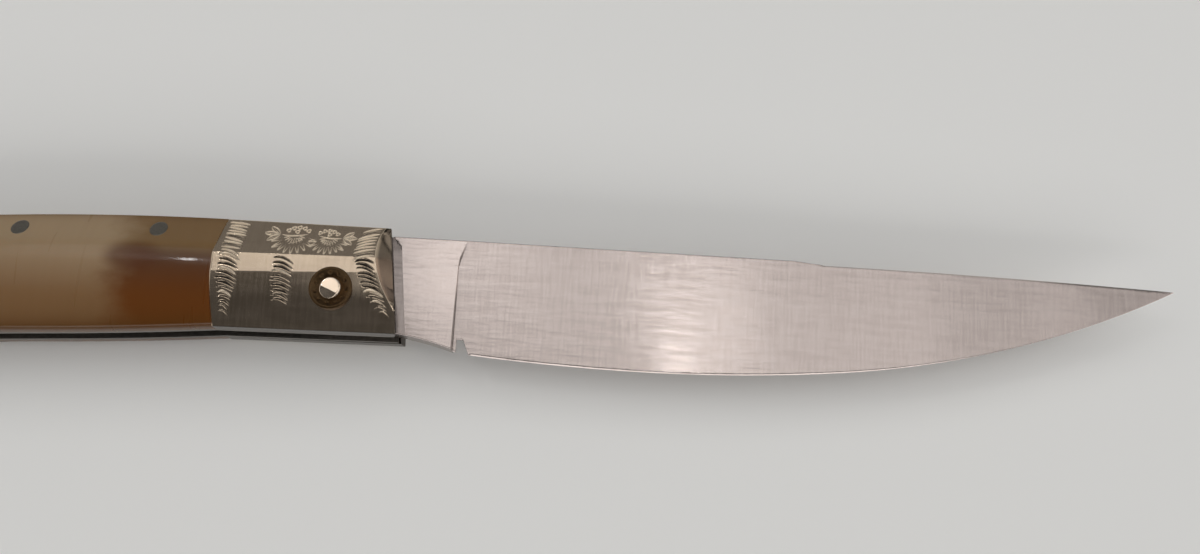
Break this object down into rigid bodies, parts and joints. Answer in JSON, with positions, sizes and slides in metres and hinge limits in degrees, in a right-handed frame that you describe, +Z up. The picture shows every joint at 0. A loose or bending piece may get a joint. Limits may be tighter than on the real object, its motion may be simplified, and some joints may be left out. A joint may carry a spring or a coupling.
{
  "type": "folding pocket knife",
  "caption": "Friction folding knife: a leaf-shaped blade turns on a domed pivot between engraved steel bolsters and folds into a curved blond horn handle.",
  "frame": {"origin": "under the middle of the open knife, on the surface that it lies on", "axes": "+X to the blade's tip, +Y to its spine, +Z up, out of the right side"},
  "size_m": [0.2452, 0.0332, 0.013],
  "materials": {
    "blade_steel": "satin, brushed across",
    "bolster_steel": "satin, engraved",
    "liner_steel": "satin",
    "pivot_steel": "polished dome",
    "pin_steel": "filed flush, darkened",
    "rosette_brass": "aged, dished",
    "washer_bronze": "plain",
    "horn": "polished blond horn, amber towards the bolster"
  },
  "bodies": {
    "handle": {"back_spacer": "liner_steel", "pivot_pin": "pivot_steel", "right_liner": "liner_steel", "right_bolster": "bolster_steel", "right_scale": "horn", "right_rosette": "rosette_brass", "right_inner_washer": "washer_bronze", "left_liner": "liner_steel", "left_bolster": "bolster_steel", "left_scale": "horn", "left_rosette": "rosette_brass", "left_inner_washer": "washer_bronze", "handle_pin_1": "pin_steel", "handle_pin_2": "pin_steel", "handle_pin_3": "pin_steel", "handle_pin_4": "pin_steel", "handle_pin_5": "pin_steel", "handle_pin_6": "pin_steel", "bolster_pin_1": "bolster_steel", "bolster_pin_2": "bolster_steel"},
    "blade": {"blade": "blade_steel"}
  },
  "joints": [
    {"name": "blade_fold", "type": "hinge", "parent": "handle", "child": "blade", "pos_m": [0.00565, 0.0068, 0.0065], "axis": [0, 0, -1], "range_deg": [0, 175]}
  ]
}
